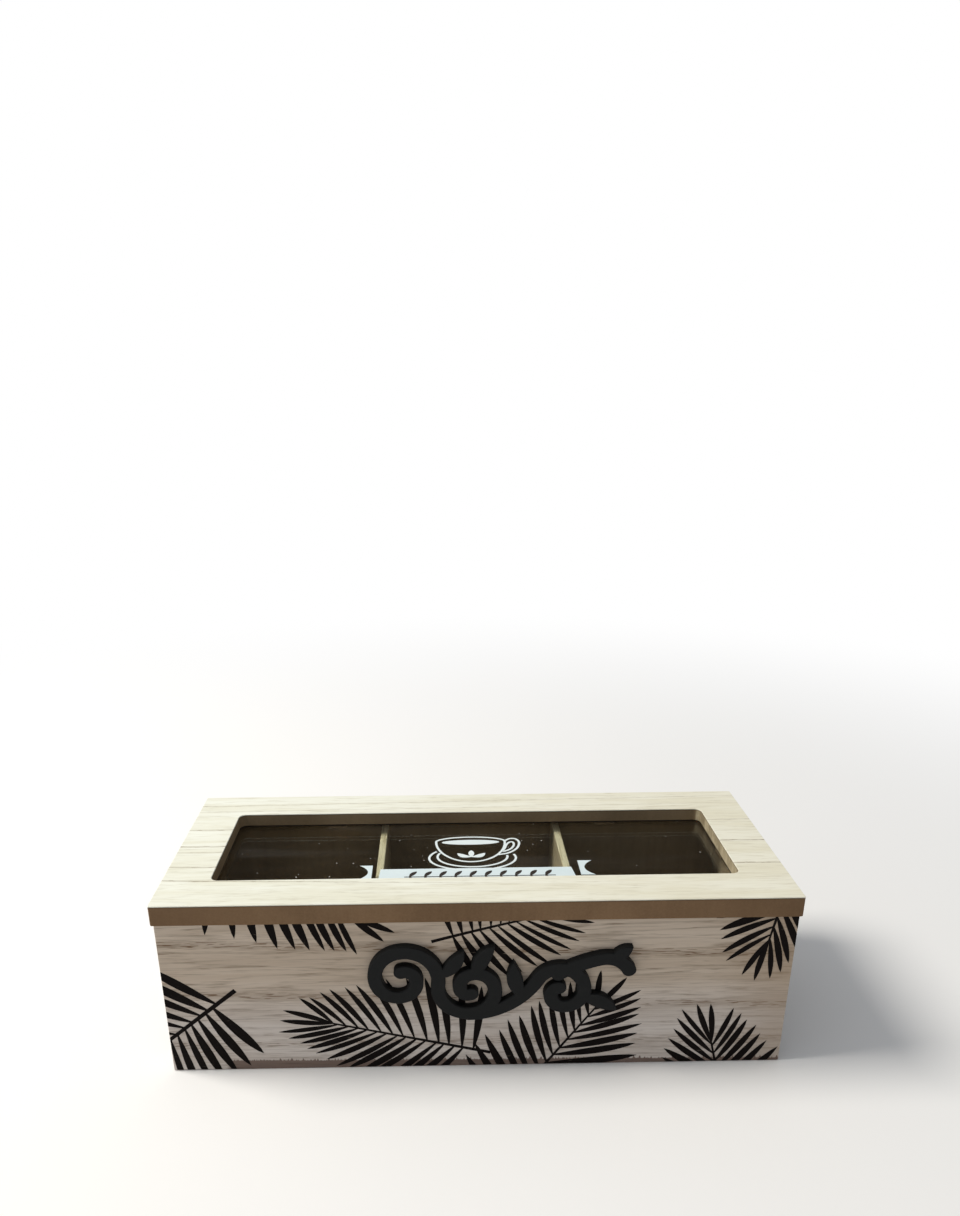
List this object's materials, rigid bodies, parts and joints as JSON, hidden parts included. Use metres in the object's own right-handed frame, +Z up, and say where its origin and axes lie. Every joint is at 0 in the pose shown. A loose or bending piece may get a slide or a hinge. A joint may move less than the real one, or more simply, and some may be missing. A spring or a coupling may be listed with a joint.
{
  "type": "hinged tea bag box with a window lid",
  "caption": "Low wooden tea box: divided compartments under a hinged lid with a routed window and glass pane, palm-frond print and a raised scroll ornament on the front.",
  "frame": {"origin": "centre of the case's footprint, on the underside of the base panel", "axes": "+X along the box to the right, -Y is the front with the ornament, +Z up"},
  "size_m": [0.24, 0.1003, 0.0747],
  "materials": {
    "mdf_board": "bare sanded fibreboard",
    "divider_board": "thin plywood, sanded",
    "lid_veneer": "pale open-grained veneer, matte",
    "case_veneer": "grey-tan porous veneer with a black palm-frond print, matte",
    "black_paint": "matte black paint on cut board",
    "glass": "clear, polished",
    "brass_plate": "brass-plated steel",
    "steel": "zinc-plated wire and strip"
  },
  "bodies": {
    "case": {"base_panel": "mdf_board", "front_board": "mdf_board", "back_board": "mdf_board", "left_side_board": "mdf_board", "right_side_board": "mdf_board", "left_divider": "divider_board", "right_divider": "divider_board", "front_veneer": "case_veneer", "back_veneer": "case_veneer", "left_side_veneer": "case_veneer", "right_side_veneer": "case_veneer", "front_ornament": "black_paint", "base_nails": "steel", "left_hinge_case_leaf": "brass_plate", "right_hinge_case_leaf": "brass_plate", "left_hinge_pin": "steel", "right_hinge_pin": "steel", "left_hinge_case_nails": "brass_plate", "right_hinge_case_nails": "brass_plate"},
    "lid": {"lid_board": "mdf_board", "lid_veneer": "lid_veneer", "glass_pane": "glass", "glass_clips": "steel", "glass_clip_pins": "steel", "left_hinge_lid_leaf": "brass_plate", "right_hinge_lid_leaf": "brass_plate", "left_hinge_lid_nails": "brass_plate", "right_hinge_lid_nails": "brass_plate"}
  },
  "joints": [
    {"name": "lid_hinge", "type": "hinge", "parent": "case", "child": "lid", "pos_m": [0, 0.0488, 0.06615], "axis": [-1, 0, 0], "range_deg": [0, 180]}
  ]
}
